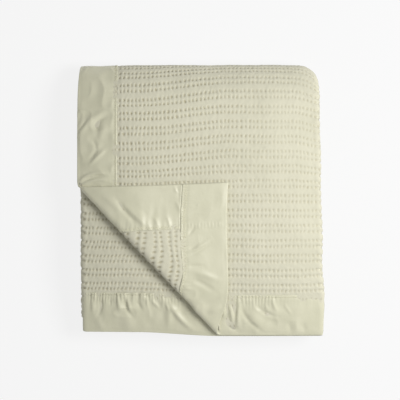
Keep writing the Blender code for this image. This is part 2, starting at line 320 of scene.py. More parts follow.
# How the cloth lies askew on the pack: over the top its rows drop towards the left, and they drop
# again over the right fold. Each comes in between two flat places across and two along, and all
# fade out between two more along, and past the right fold.
Slide = namedtuple("Slide", "from_u to_u drop from_v to_v")
SLIDES = (
    Slide(0.215, 0.085, 10.0 * MM, 0.165, 0.270),
    Slide(0.300, 0.345, 6.5 * MM, 0.190, 0.270),
)
SLIDES_FADE_V = 0.45
SLIDES_END_V = 0.62
SLIDES_FADE_U = 0.05
# The turned-back cloth is pulled towards its end, so its bound side takes this much less room, and
# along the roll its bound end is this much narrower. Past the bindings the weave soon lies as before.
FLAP_PULL = 6.3 * MM
FLAP_PULL_FROM = 25 * MM  # it comes in from this far before the roll ends to this far past it
FLAP_PULL_TO = 5 * MM
ROLL_PULL = 7.2 * MM
ROLL_PULL_COMES = (-40 * MM, -10 * MM)  # distances past the roll's end
ROLL_PULL_GOES = (-4 * MM, 22 * MM)
PULL_HOLDS = 10 * MM
PULL_FADES = 60 * MM
# The middle layer lies this far to the front at its bound end, with its bands this much closer.
UNDER_SHIFT = 1.5 * MM
UNDER_SHIFT_FROM_V = 0.14
UNDER_SHIFT_FADE = 0.05
UNDER_CLOSER = 0.035
UNDER_CLOSER_END = 0.16
OUTER_SHARE = 1.25  # how loosely the outer layer goes round the back fold

# Unevenness as heights, cells and seeds: how far the weave wanders, and the lumps of its faces.
WANDER_U = ((0.55 * MM, 7 * MM, 11), (0.5 * MM, 31 * MM, 12))
WANDER_V = ((0.40 * MM, 6 * MM, 13), (0.7 * MM, 43 * MM, 14))
FACE_LUMPS = ((0.25 * MM, 3.1 * MM, 21), (0.5 * MM, 27 * MM, 22))
LEAN = 0.22  # how far holes lean across for each metre along, either way
UNDER_LEAN = 0.25  # and how much further to one side on the middle layer
# How open the holes are, which sets both their depth and their painted shade: on the left of the top, how
# much less on its right, and underneath.
OPEN_LEFT = 0.95
OPEN_LOSS = 0.38
OPEN_LOSS_FROM_U = 0.12
OPEN_LOSS_TO_U = 0.29
OPEN_UNEVEN = 0.13
OPEN_UNDER = 0.82


def smooth_noise(x, y, cell, seed):
    """Smooth noise from -1 to 1, with one random value to each cell."""
    table = np.random.default_rng(seed).uniform(-1, 1, (256, 256))
    gx, gy = x / cell, y / cell
    ix, iy = np.floor(gx).astype(int), np.floor(gy).astype(int)
    fx, fy = ease(gx - ix), ease(gy - iy)
    corners = [table[(ix + dx) % 256, (iy + dy) % 256] for dx in (0, 1) for dy in (0, 1)]
    low = corners[0] * (1 - fx) + corners[2] * fx
    high = corners[1] * (1 - fx) + corners[3] * fx
    return low * (1 - fy) + high * fy


def layered_noise(u, v, layers):
    """The sum of smooth noises, each given by its height, cell and seed."""
    return sum(height * smooth_noise(u, v, cell, seed) for height, cell, seed in layers)


def past_the_roll(u, v):
    """How far past the roll flat places are, or less than 0 on the layer that it starts from."""
    x, _, _ = travel(ACROSS, u, 0.0)
    y, _, _ = travel(ALONG, v, 0.0)
    _, _, over, _ = rolled_over(x + LEFT_DRAW, y + FRONT_DRAW)
    return np.where(is_top_layer(u, v), over, -1.0)


def on_flap(u, v, before=0.0, within=10 * MM):
    """0 on the layer that the corner is turned back from, 1 once this far past the roll."""
    return ease((past_the_roll(u, v) + before) / (before + within))


def under_share(u):
    """1 on the middle layer of the fold in thirds, 0 on the outer one."""
    bend = ACROSS[1]
    return ease((u - bend.begin) / bend.length) * (1 - ease((u - ACROSS[3].begin) / 0.01))


def pulled_share(inward):
    """How much of a pull acts this far from a bound edge: all of it at the seam, none well past it."""
    return np.minimum(inward / BINDING, 1.0) * (1 - ease((inward - BINDING - PULL_HOLDS) / PULL_FADES))


def slid(u, v):
    """Flat places moved to where the cloth has slid on the pack."""
    moved = v - UNDER_SHIFT * under_share(u) * (1 - ease((v - UNDER_SHIFT_FROM_V) / UNDER_SHIFT_FADE))
    within = (1 - ramp(v, SLIDES_FADE_V, SLIDES_END_V)) * (1 - ease((u - ACROSS[2].begin) / SLIDES_FADE_U))
    for slide in SLIDES:
        share = ramp(u, slide.from_u, slide.to_u) * ramp(v, slide.from_v, slide.to_v)
        moved = moved - slide.drop * share * within
    over = past_the_roll(u, v)
    on_roll = ramp(over, *ROLL_PULL_COMES) * (1 - ramp(over, *ROLL_PULL_GOES))
    moved = moved - ROLL_PULL * on_roll * pulled_share(v)
    return u - FLAP_PULL * pulled_share(u) * on_flap(u, v, FLAP_PULL_FROM, FLAP_PULL_TO), moved


def outer_extra(u, v):
    """How much further the outer layer goes round the back fold than the middle of the slab."""
    bend = ALONG[1]
    turned = math.pi * np.clip((v - bend.begin) / bend.length, 0.0, 1.0)
    level = 1 - ease((u - ACROSS[1].begin) / ACROSS[1].length)
    return OUTER_SHARE * LAYER_PITCH * level * (1 + ALONG_STRETCH) / 2 * turned


def weave_place(u, v):
    """The flat place in the weave: its holes are a little out of line, and some lean."""
    lean = LEAN * smooth_noise(u, v, 9 * MM, 15) + UNDER_LEAN * under_share(u)
    closer = UNDER_CLOSER * under_share(u) * np.clip(v - SEAM, 0.0, UNDER_CLOSER_END)
    along = v + outer_extra(u, v) + closer
    bands = (along - FIRST_BAND_V) / BAND_PITCH
    off_band = (bands - np.round(bands)) * BAND_PITCH
    return u + layered_noise(u, v, WANDER_U) + lean * off_band, along + layered_noise(u, v, WANDER_V)


def openness(u, v):
    """How deep the holes are and how much painted shade they get: open on the left and the middle layer,
    closer on the right.
    """
    on_top = OPEN_LEFT - OPEN_LOSS * ramp(u, OPEN_LOSS_FROM_U, OPEN_LOSS_TO_U)
    on_top = on_top + OPEN_UNEVEN * smooth_noise(u, v, 35 * MM, 16)
    return blend(on_top, OPEN_UNDER, np.maximum(under_share(u), on_flap(u, v)))


def weave_relief(weave_u, weave_v, depth, folded):
    """The height that the holes, the strands between them and the dip of each row add to a face."""
    across = (weave_u - FIRST_HOLE_U) / HOLE_PITCH
    off_hole = (across - np.round(across)) * HOLE_PITCH
    along = (weave_v - FIRST_BAND_V) / BAND_PITCH
    off_band = np.abs((along - np.round(along)) * BAND_PITCH)
    off_row = off_band - ROW_OFFSET
    reach = np.sqrt((off_hole / HOLE_HALF_WIDTH) ** 2 + (off_row / HOLE_HALF_LENGTH) ** 2)
    hole = 1 - ease((reach - HOLE_CORE) / HOLE_SLOPE)
    in_band = 1 - ease((off_band - STRANDS_END) / STRANDS_FADE)
    strand = in_band * (0.5 - 0.5 * np.cos(2 * math.pi * across)) * (1 - hole)
    row = np.cos(math.pi * np.minimum(off_band / ROW_OFFSET, 2.0))
    return depth * (STRAND_RISE * strand - HOLE_DEPTH * hole) + ROW_DIP * (1 + FOLDED_DIP * folded) * row


# ==== Creases and puckers ====

# Each row is a soft ridge, or a trough where the height is below 0: two ends with a place that it
# passes between them, on the plan, then its width and height. All in millimetres. The plan's origin
# is PLAN_SHIFT to the left of the pack's.
Crease = namedtuple("Crease", "x0 y0 x1 y1 x2 y2 width height")

LEFT_MARGIN_CREASES = (
    (-167, 121, -163, 131, -155, 141, 2.4, -1.3),
    (-164, 116, -156, 130, -138, 140, 4.2, 1.7),
    (-166, 92, -159, 100, -152, 110, 2.0, -1.3),
    (-163, 86, -149, 107, -122, 120, 5.0, 1.7),
    (-122, 115, -136, 107, -138, 90, 3.5, -1.3),
    (-125, 103, -131, 92, -136, 80, 5.0, 1.1),
    (-147, 82, -140, 73, -144, 60, 3.0, -1.0),
    (-148, 48, -138, 58, -127, 68, 2.2, 1.4),
    (-149, 55, -141, 64, -130, 73, 2.2, -0.8),
    (-163, 23, -149, 34, -125, 37, 2.4, 1.7),
    (-158, 25, -141, 31, -125, 32, 1.6, -0.8),
    (-160, 18, -142, 27, -122, 26, 2.6, 1.4),
)
FLAP_SIDE_CREASES = (
    (-112, 2, -99, -16, -85, -31, 3.4, -1.3),
    (-99, -10, -79, -27, -72, -36, 3.8, 1.5),
    (-88, -14, -76, -22, -70, -30, 3.0, 0.9),
    (-34, 17, -30, 12, -25, 6, 1.6, 0.9),
    (-30, 18, -28, 10, -26, 4, 1.6, -0.9),
    (-31, -2, -27, -10, -25, -18, 2.2, 0.8),
    (-62, -24, -57, -30, -55, -38, 2.0, 0.9),
    (-44, -22, -41, -30, -40, -38, 2.0, 0.9),
    (-134, 6, -118, -4, -106, -18, 6.0, 0.8),
)
FLAP_END_CREASES = (
    (-14, -46, -10, -42, -6, -37, 1.8, -1.1),
    (-14, -66, -7, -64, -2, -61, 1.9, -1.0),
    (-13, -74, 1, -67, 15, -57, 1.8, -1.2),
    (-11, -70, 2, -63, 17, -53, 2.7, 1.0),
    (-14, -90, -6, -89, 5, -89, 2.0, -0.8),
    (-8, -108, 6, -114, 22, -124, 3.8, -1.1),
    (-6, -97, 10, -102, 26, -108, 4.0, 1.1),
    (-22, -129, -14, -132, -8, -136, 1.8, -1.2),
    (-22, -126, -15, -126, -7, -125, 1.8, -1.2),
    (-20, -133, -12, -139, -4, -147, 2.2, 1.2),
    (-8, -152, 12, -142, 32, -132, 4.2, -0.8),
    (-2, -163, 16, -152, 33, -143, 4.2, 1.4),
    (10, -176, 20, -166, 30, -158, 2.8, -0.6),
)
LOWER_END_CREASES = (
    (-146, -134, -145, -144, -145, -154, 2.9, 1.1),
    (-133, -134, -134, -148, -139, -159, 2.2, -1.0),
    (-120, -133, -121, -137, -122, -143, 2.0, -0.9),
    (-110, -131, -109, -141, -107, -150, 3.1, 1.6),
    (-101, -136, -98, -149, -90, -160, 2.4, -1.0),
    (-98, -132, -96, -142, -94, -151, 2.4, 1.5),
    (-84, -139, -81, -144, -78, -150, 2.2, -0.9),
    (-72, -131, -71, -137, -70, -144, 1.9, 1.3),
    (-64, -136, -59, -142, -54, -148, 1.9, 1.1),
    (-45, -140, -43, -145, -42, -150, 1.7, 1.4),
    (-43, -136, -28, -158, -9, -176, 3.7, 2.2),
    (-40, -142, -41, -158, -42, -174, 4.4, 1.1),
    (-49, -146, -52, -158, -56, -172, 5.0, -0.5),
    (-141, -158, -136, -168, -132, -178, 5.0, 0.6),
    (-122, -178, -114, -170, -104, -176, 5.5, -0.5),
    (-106, -154, -97, -166, -92, -176, 7.7, 1.4),
    (-72, -156, -68, -166, -66, -176, 6.6, -0.5),
)
TOP_END_CREASES = (
    (34, -142, 34, -151, 33, -160, 2.9, 1.5),
    (40, -141, 44, -152, 46, -168, 3.4, 1.9),
    (47, -145, 49, -160, 47, -172, 2.9, -1.0),
    (56, -140, 53, -155, 53, -170, 3.1, 1.9),
    (35, -162, 45, -172, 53, -179, 3.8, -1.0),
    (58, -141, 65, -161, 90, -182, 2.8, -1.0),
    (68, -150, 76, -160, 88, -170, 7.2, 1.5),
    (78, -143, 90, -153, 108, -159, 2.6, -1.0),
    (90, -142, 92, -146, 93, -150, 1.8, 0.8),
    (100, -133, 102, -142, 106, -151, 2.0, 1.1),
    (116, -141, 121, -149, 126, -156, 1.8, 0.6),
    (95, -160, 101, -166, 108, -168, 6.0, -0.7),
    (122, -166, 124, -173, 125, -181, 3.4, -0.8),
    (133, -165, 133, -172, 133, -180, 3.4, 0.8),
    (141, -168, 143, -174, 144, -181, 3.8, -0.8),
)
CREASE_PARTS = 8
PLAN_SHIFT = 1.25 * MM
CREASE_STRENGTH = 1.2
CREASE_TIP = 0.04  # a crease's ends keep the height that it has this share of the way in


def creased(x, y, creases):
    """The height that the creases add at these places of the plan."""
    added = np.zeros_like(x)
    for crease in map(Crease._make, creases):
        ends = np.array(crease[:6]).reshape(3, 2) * MM - (PLAN_SHIFT, 0)
        share = np.linspace(0, 1, CREASE_PARTS + 1)[:, None]
        control = 2 * ends[1] - (ends[0] + ends[2]) / 2
        path = (1 - share) ** 2 * ends[0] + 2 * share * (1 - share) * control + share**2 * ends[2]
        width = crease.width * MM
        low, high = path.min(0) - 3 * width, path.max(0) + 3 * width
        close = (x > low[0]) & (x < high[0]) & (y > low[1]) & (y < high[1])
        if not close.any():
            continue
        points = np.stack((x[close], y[close]), -1)[:, None]
        begin, way = path[:-1], np.diff(path, axis=0)
        along = np.clip(((points - begin) * way).sum(-1) / (way**2).sum(-1), 0, 1)
        gap = np.linalg.norm(points - begin - along[..., None] * way, axis=-1)
        nearest = gap.argmin(1)
        row = np.arange(len(nearest))
        reached = (nearest + along[row, nearest]) / CREASE_PARTS
        taper = np.sin(math.pi * np.clip(reached, CREASE_TIP, 1 - CREASE_TIP)) ** 0.6
        height = CREASE_STRENGTH * crease.height * MM
        added[close] += height * taper * np.exp(-((gap[row, nearest] / width) ** 2))
    return added


def middle_and_normal(u, v):
    """The middle of the cloth and the way it faces, h upwards, from flat places."""
    across = middle(u + SLOPE_STEP, v) - middle(u - SLOPE_STEP, v)
    along = middle(u, v + SLOPE_STEP) - middle(u, v - SLOPE_STEP)
    normal = np.cross(across, along)
    normal /= np.linalg.norm(normal, axis=-1, keepdims=True)
    return middle(u, v), normal


def top_left_flat(u, v):
    return (1 - on_flap(u, v)) * is_top_layer(u, v)


def under_the_top(u, v):
    return 1.0 * ((u > ACROSS[2].begin) & (u < ACROSS[3].begin) & (v < ALONG[0].length))


# Where each group of creases is: the face that it shows on, and where on the flat blanket.
CREASED = (
    (1, top_left_flat, LEFT_MARGIN_CREASES + TOP_END_CREASES),
    (-1, on_flap, FLAP_SIDE_CREASES + FLAP_END_CREASES),
    (-1, under_the_top, LOWER_END_CREASES),
)


def placed(u, v):
    """The middle of the slid and creased cloth and the way it faces, h upwards, from flat places."""
    moved_u, moved_v = slid(u, v)
    core, normal = middle_and_normal(moved_u, moved_v)
    lift = 0.0
    for face, where, creases in CREASED:
        lift = lift + face * where(u, v) * creased(core[..., 0], core[..., 1], creases)
    return core + normal * lift[..., None], normal


# ==== The cloth's two faces ====

LOFT_FROM_EDGE = 0.055  # the layers lie loose and full this close to the pack's sides
FULL_SHARE = 0.40  # of the pitch, on either side of a full layer's middle
SEAM_DIP = 0.6 * MM
SEAM_DIP_WIDTH = 5 * MM
SPARE_HALF = 0.3 * MM  # by how much half a layer may be thicker where nothing lies over it


def loose_half(points):
    """Half the thickness of a layer at these points: loose and full near the sides of the pack."""
    x, y = points[..., 0], points[..., 1]
    from_side = np.minimum(x - LEFT, RIGHT - x)
    from_end = np.minimum(y - FRONT, BACK - y)
    edge = 1 - ease(np.minimum(from_side, from_end) / LOFT_FROM_EDGE)
    full = LAYER_PITCH * FULL_SHARE * crown(x, y)
    return HALF_CLOTH + np.maximum(full - HALF_CLOTH, 0.0) * edge


def in_side_fold(u):
    """1 round the noses of the fold in thirds, 0 on the flat."""
    share = 0.0
    for bend in (ACROSS[1], ACROSS[3]):
        off = np.abs(u - bend.begin - bend.length / 2) / bend.length
        share = share + 1 - ease((off - 0.3) / 0.5)
    return share


def cloth_face(u, v, side):
    """The points of one face of the cloth, with its holes and strands."""
    core, normal = placed(u, v)
    half = loose_half(core)
    thin = np.where(is_top_layer(u, v) & (side > 0), 1.0, on_flap(u, v))
    half = blend(half, np.minimum(half, HALF_CLOTH + SPARE_HALF), thin)
    from_seam = np.minimum.reduce((u - SEAM, FLAT_WIDTH - SEAM - u, v - SEAM, FLAT_LENGTH - SEAM - v))
    dip = SEAM_DIP * (1 - ease(from_seam / SEAM_DIP_WIDTH))
    height = half + weave_relief(*weave_place(u, v), openness(u, v), in_side_fold(u)) - dip
    height = height + layered_noise(u, v, FACE_LUMPS)
    return core + normal * (side * height)[..., None]


# ==== The cloth's mesh: one closed sheet, finest where it shows ====

HEM_INSET = 2.0 * MM
HEM_HALF = 0.4 * MM
KEYS_PER_METRE = 1e7
RIM_PATCH = 0.02  # the side of the rim's square in the map for baking
Block = namedtuple("Block", "side u0 u1 columns v0 v1 rows")


def cuts_between(low, high, step):
    return max(1, round((high - low) / step))


def chained(first, rows):
    """Name, start, finish and fineness of stretches that each start where the last one ends."""
    starts = [first] + [finish for _, finish, _ in rows]
    return [(name, start, finish, fineness) for start, (name, finish, fineness) in zip(starts, rows)]


def cloth_blocks():
    """The rectangles of the flat cloth, each with its own fineness, on both faces."""
    fine, half, rough, coarse, nose = 1, 2, 4, 14, 1.3  # steps of the finest mesh to a cell
    # Each stretch: its name, where it ends and its fineness.
    columns = (
        ("hem", SEAM, coarse),
        ("flap", SEAM + 28 * HOLE_PITCH, fine),
        ("top", ACROSS[1].begin, fine),
        ("right fold", ACROSS[2].begin, nose),
        ("under", ACROSS[3].begin - 24 * HOLE_PITCH, coarse),
        ("lower", ACROSS[3].begin, fine),
        ("left fold", ACROSS[4].begin, nose),
        ("deep", FLAT_WIDTH - SEAM, coarse),
        ("far hem", FLAT_WIDTH - HEM_INSET, coarse),
    )
    rows = (
        ("hem", SEAM, coarse),
        ("flap", SEAM + 8 * BAND_PITCH, fine),
        ("top", ALONG[1].begin, fine),
        ("nose top", ALONG[1].begin + 0.5 * ALONG[1].length, fine),
        ("nose", ALONG[2].begin, half),
        ("bottom", ALONG[3].begin, coarse),
        ("front nose", ALONG[4].begin, half),
        ("second", ALONG[5].begin, coarse),
        ("inner nose", ALONG[6].begin, rough),
        ("third", FLAT_LENGTH - SEAM, coarse),
        ("far hem", FLAT_LENGTH - HEM_INSET, coarse),
    )
    top_rows = ("flap", "top", "nose top", "nose", "front nose")
    shown = {
        1: {(column, row) for column in ("flap", "top") for row in top_rows},
        -1: {("flap", "flap"), ("lower", "flap")},
    }
    shown_fold = {1: "right fold", -1: "left fold"}
    blocks = []
    for side, (column, u0, u1, u_fine), (row, v0, v1, v_fine) in itertools.product(
        (1, -1), chained(HEM_INSET, columns), chained(HEM_INSET, rows)
    ):
        if column == shown_fold[side]:
            if "hem" not in row:
                v_fine = min(v_fine, half)
        elif "fold" in column:
            u_fine = 3
        elif (column, row) not in shown[side]:
            u_fine, v_fine = coarse, max(v_fine, rough if "nose" in row else coarse)
        elif row in ("nose", "front nose"):
            u_fine = 2
        u_cells, v_cells = cuts_between(u0, u1, u_fine * U_STEP), cuts_between(v0, v1, v_fine * V_STEP)
        blocks.append(Block(side, u0, u1, u_cells, v0, v1, v_cells))
    return blocks


def key_of(value):
    """A length as a whole number of tenths of a micrometre, so that equal places compare equal."""
    return round(value * KEYS_PER_METRE)


def block_lines(block):
    """A block's lines across and along, as keys."""
    spans = ((block.u0, block.u1, block.columns), (block.v0, block.v1, block.rows))
    return [[key_of(a + (b - a) * i / cells) for i in range(cells + 1)] for a, b, cells in spans]


def cloth_polygons(blocks):
    """Every face of the closed cloth as a loop of (side, u, v), and the block that it belongs to."""
    rims = [{key_of(HEM_INSET), key_of(size - HEM_INSET)} for size in (FLAT_WIDTH, FLAT_LENGTH)]

    def line_of(axis, place, side):
        """A border line's key: the axis that it crosses, where, and the side, or 0 on the rim."""
        return axis, place, 0 if place in rims[axis] else side

    found = defaultdict(set)
    for block in blocks:
        us, vs = block_lines(block)
        for axis, crossed, along in ((0, us, vs), (1, vs, us)):
            for place in (crossed[0], crossed[-1]):
                found[line_of(axis, place, block.side)].update(along)
    lines = {key: np.array(sorted(places)) for key, places in found.items()}

    def edge(start, finish, side):
        """The points of an edge but for its last, with those that its neighbours have on it."""
        axis = 0 if start[0] == finish[0] else 1
        line = lines.get(line_of(axis, start[axis], side))
        if line is None:
            return [start]
        low, high = sorted((start[1 - axis], finish[1 - axis]))
        inner = line[(line > low) & (line < high)][:: 1 if start < finish else -1]
        return [start] + [(place, start[1]) if axis else (start[0], place) for place in inner]

    polygons, owners = [], []
    for number, block in enumerate(blocks):
        us, vs = block_lines(block)
        for (low, high), (near, far) in itertools.product(zip(vs, vs[1:]), zip(us, us[1:])):
            ring = ((near, low), (far, low), (far, high), (near, high), (near, low))
            loop = [point for ends in zip(ring, ring[1:]) for point in edge(*ends, block.side)]
            polygons.append([(block.side, u, v) for u, v in loop[:: block.side]])
            owners.append(number)
    rim = []
    for (axis, place, side), line in lines.items():
        if side == 0:
            forward = place == (min if axis else max)(rims[axis])
            for pair in zip(line[:-1], line[1:]):
                a, b = pair if forward else pair[::-1]
                ring = ((-1, a), (-1, b), (1, b), (1, a))
                rim.append([(face, along, place) if axis else (face, place, along) for face, along in ring])
    return polygons + rim, owners + [-1] * len(rim)


def atlas_places(sizes):
    """Where rectangles of these sizes go in a unit square, packed on shelves, and their scale."""
    order = sorted(range(len(sizes)), key=lambda i: -sizes[i][1])
    gap, shrink = 0.0015, 0.985
    scale = 1.0 / math.sqrt(sum(w * h for w, h in sizes))
    while True:
        places, x, y, shelf = {}, gap, gap, 0.0
        for i in order:
            width, height = sizes[i][0] * scale, sizes[i][1] * scale
            if x + width + gap > 1:
                x, y, shelf = gap, y + shelf + gap, 0.0
            places[i] = (x, y)
            x += width + gap
            shelf = max(shelf, height)
        if y + shelf + gap <= 1 and max(w for w, _ in sizes) * scale < 1 - 2 * gap:
            return places, scale
        scale *= shrink


def bake_places(blocks, owner, u, v):
    """Where face corners go in the map for baking: each block has a rectangle, the rim a square."""
    sizes = [(block.columns * U_STEP, block.rows * V_STEP) for block in blocks] + [(RIM_PATCH, RIM_PATCH)]
    places, scale = atlas_places(sizes)
    origins = np.array([places[i] for i in range(len(sizes))])
    spans = [(block.u0, block.u1, block.v0, block.v1) for block in blocks]
    u0, u1, v0, v1 = np.array(spans + [(0, FLAT_WIDTH, 0, FLAT_LENGTH)])[owner].T
    share = np.stack(((u - u0) / (u1 - u0), (v - v0) / (v1 - v0)), -1)
    return origins[owner] + share * np.array(sizes)[owner] * scale


SQUEEZED = 1.0 * MM  # cloth lower than this is squeezed flatter


def off_the_floor(points):
    """The points, raised where they are low so that none is below the floor."""
    above = np.maximum(points[:, 2], SQUEEZED)
    below = np.minimum(points[:, 2] - SQUEEZED, 0.0)
    return np.column_stack((points[:, :2], above + SQUEEZED * (np.exp(below / SQUEEZED) - 1)))


def linked(name, data):
    made = bpy.data.objects.new(name, data)
    bpy.context.scene.collection.objects.link(made)
    return made


def new_piece(name, points, faces, finish):
    mesh = bpy.data.meshes.new(name)
    mesh.from_pydata(off_the_floor(points).tolist(), [], faces)
    mesh.shade_smooth()
    mesh.materials.append(finish)
    return linked(name, mesh)


def set_map(mesh, name, values):
    layer = mesh.uv_layers.new(name=name)
    layer.data.foreach_set("uv", np.asarray(values, np.float32).ravel())


def make_cloth(finish):
    """The wool cloth as one closed mesh, with the weave's places as a map."""
    blocks = cloth_blocks()
    polygons, owners = cloth_polygons(blocks)
    counts = np.array([len(loop) for loop in polygons])
    corners = np.array([corner for loop in polygons for corner in loop], np.int64)
    places, index = np.unique(corners, axis=0, return_inverse=True)
    index = index.reshape(-1)
    side, u, v = places[:, 0], places[:, 1] / KEYS_PER_METRE, places[:, 2] / KEYS_PER_METRE
    points = cloth_face(u, v, side)
    from_edge = np.minimum(np.minimum(u, FLAT_WIDTH - u), np.minimum(v, FLAT_LENGTH - v))
    hemmed = from_edge < SEAM - 0.5 * MM
    core, normal = placed(u, v)
    points[hemmed] = (core + normal * (side * HEM_HALF)[:, None])[hemmed]
    starts = np.concatenate(([0], np.cumsum(counts)[:-1]))
    faces = [index[s:s + n].tolist() for s, n in zip(starts, counts)]
    piece = new_piece("wool_cloth", points, faces, finish)
    weave_u, weave_v = weave_place(u, v)
    set_map(piece.data, "Weave", np.stack((weave_u, weave_v), -1)[index])
    # The holes' openness, for the painted shade in them in the wool material.
    set_map(piece.data, "Openness", np.stack((openness(u, v), np.zeros_like(u)), -1)[index])
    owner = np.repeat(np.array(owners), counts)
    set_map(piece.data, "OFBake", bake_places(blocks, owner, u[index], v[index]))
    return piece


# ==== The satin bindings and their zigzag stitching ====

SATIN = 0.35 * MM
RIBBON_STEP = 1.38 * MM
COARSE_STEPS = 3.2  # this many times further apart where the ribbon doesn't show
WRAP_STEPS = 6
CORNER_GAP = 0.1 * MM
# A ribbon's outer and inner surface are two strips of its map for baking.
STRIP_ENDS = (0.002, 0.998)
STRIP_STARTS = (0.004, 0.504)
STRIP_HEIGHT = 0.492

# The satin's height off the middle of the cloth, from its bound edge to its sewn edge.
EDGE_RADIUS = 1.1 * MM
PILLOW = 1.5 * MM
PILLOW_RISE = 7 * MM
SEWN_EDGE = 1.8 * MM
LEAST_SATIN = 0.8 * MM
EDGE_RIDGE = 2.2 * MM  # the rolled edge outside the stitching
CHANNEL = 2.6 * MM  # the width that the stitching presses flat
CHANNEL_DEPTH = 0.6 * MM
SEWN_EDGE_DROP = 0.4 * MM

# Puckers at the stitching, pleats that fan out of them, and what is not tied to the stitching: a
# broad billow, and crumples in patches.
GATHER_HEIGHT = 0.8 * MM
GATHER_HOLDS = 5 * MM  # full height this far from the sewn edge, then fading over their reach
GATHER_REACH = 9 * MM
PLEAT_LENGTH = 15 * MM
PLEAT_HEIGHT = 0.8 * MM
PLEAT_REACH = 26 * MM
BILLOW = 0.55 * MM
BILLOW_SIZE = 19 * MM
CRUMPLE = 0.8 * MM
CRUMPLE_SIZE = 15 * MM
CRUMPLE_PATCH = 42 * MM
CALM_FLAP = 0.85  # how much smoother the satin of the turned-back corner lies

# Where an end binding lies over a side one, that one's seam shows through as a row of tufts.
EMBOSSED = 0.5 * MM
TUFT_SPACING = 4.4 * MM
TUFT_HALF = 3.6 * MM
TUFTS_FROM_SEAM = 4.5 * MM

STITCH = 3.3 * MM
STITCH_INSET = 1.2 * MM
STITCH_SPARE = 0.8 * MM  # how much wider the zigzag is than the channel
THREAD_RADIUS = 0.28 * MM
THREAD_LIFT = 0.4 * THREAD_RADIUS  # from the satin to the thread's middle
THREAD_SIDES = 4
LEG_STEPS = 3

# A stretch of a binding that shows: which face and where, how strongly and how closely its stitching
# gathers it, how wide that presses it flat, and how far along it the gathers get weak.
Zone = namedtuple("Zone", "face where gather spacing channel calm_from")
NEVER = math.inf
WEAKENED = 0.8  # the share of the gathers that is lost past calm_from
WEAKENS_OVER = 0.02
SIDE_ZONES = (
    Zone(1, top_left_flat, 0.30, 5.0 * MM, 2.2 * MM, NEVER),
    Zone(-1, on_flap, 0.60, 8.4 * MM, 3.0 * MM, NEVER),
)
END_ZONES = (
    Zone(1, top_left_flat, 1.2, 4.8 * MM, 1.8 * MM, 0.265),
    Zone(-1, on_flap, 0.65, 3.6 * MM, 5.6 * MM, NEVER),
    Zone(-1, under_the_top, 1.3, 4.3 * MM, 1.8 * MM, NEVER),
)
HIDDEN_GATHER = 0.6
HIDDEN_SPACING = 4.6 * MM


def near_side(inward, along):
    return inward, along


def far_side(inward, along):
    return FLAT_WIDTH - inward, along


def near_end(inward, along):
    return along, inward


def far_end(inward, along):
    return along, FLAT_LENGTH - inward


# Each binding: the solid that it stands for, where along its edge it begins and finishes, the flat
# place of a point this far inward and along, the stretches that show, its zones and its seed.
Binding = namedtuple("Binding", "solid begin finish place shown zones seed")
SIDE_SPAN = (BINDING + CORNER_GAP, FLAT_LENGTH - BINDING - CORNER_GAP)
END_SPAN = (0.0, FLAT_WIDTH)
SIDE_SHOWN = ((0.0, 0.43),)
END_SHOWN = ((0.0, 0.345), (0.50, 0.70))
BINDINGS = (
    Binding("side_binding_outer", *SIDE_SPAN, near_side, SIDE_SHOWN, SIDE_ZONES, 100),
    Binding("side_binding_inner", *SIDE_SPAN, far_side, (), (), 200),
    Binding("end_binding_outer", *END_SPAN, near_end, END_SHOWN, END_ZONES, 300),
    Binding("end_binding_inner", *END_SPAN, far_end, (), (), 400),
)


def gathers(inward, along, spacing, seed):
    """The small puckers that the stitching draws up, and the wider pleats that fan out of them."""
    from_sewn = BINDING - inward
    phase = along / spacing + 0.45 * smooth_noise(along, inward * 0.3, 13 * MM, seed)
    size = 0.6 + 0.4 * smooth_noise(along, inward * 0.2, 17 * MM, seed + 1)
    reach = GATHER_REACH * (0.5 + 0.8 * size)
    fading = np.exp(-((np.maximum(from_sewn - GATHER_HOLDS, 0) / reach) ** 2))
    sharp = 1 - 2 * np.abs(np.sin(math.pi * phase)) ** 1.3
    fine = GATHER_HEIGHT * size * sharp * fading * ease(from_sewn / (1.5 * MM))
    phase = along / PLEAT_LENGTH + 0.8 * smooth_noise(along, inward * 0.5, 38 * MM, seed + 2)
    size = np.maximum(0.35 + 0.65 * smooth_noise(along, inward * 0.2, 45 * MM, seed + 3), 0)
    wide = PLEAT_HEIGHT * size * np.sin(2 * math.pi * phase) * np.exp(-((from_sewn / PLEAT_REACH) ** 2))
    return fine + wide


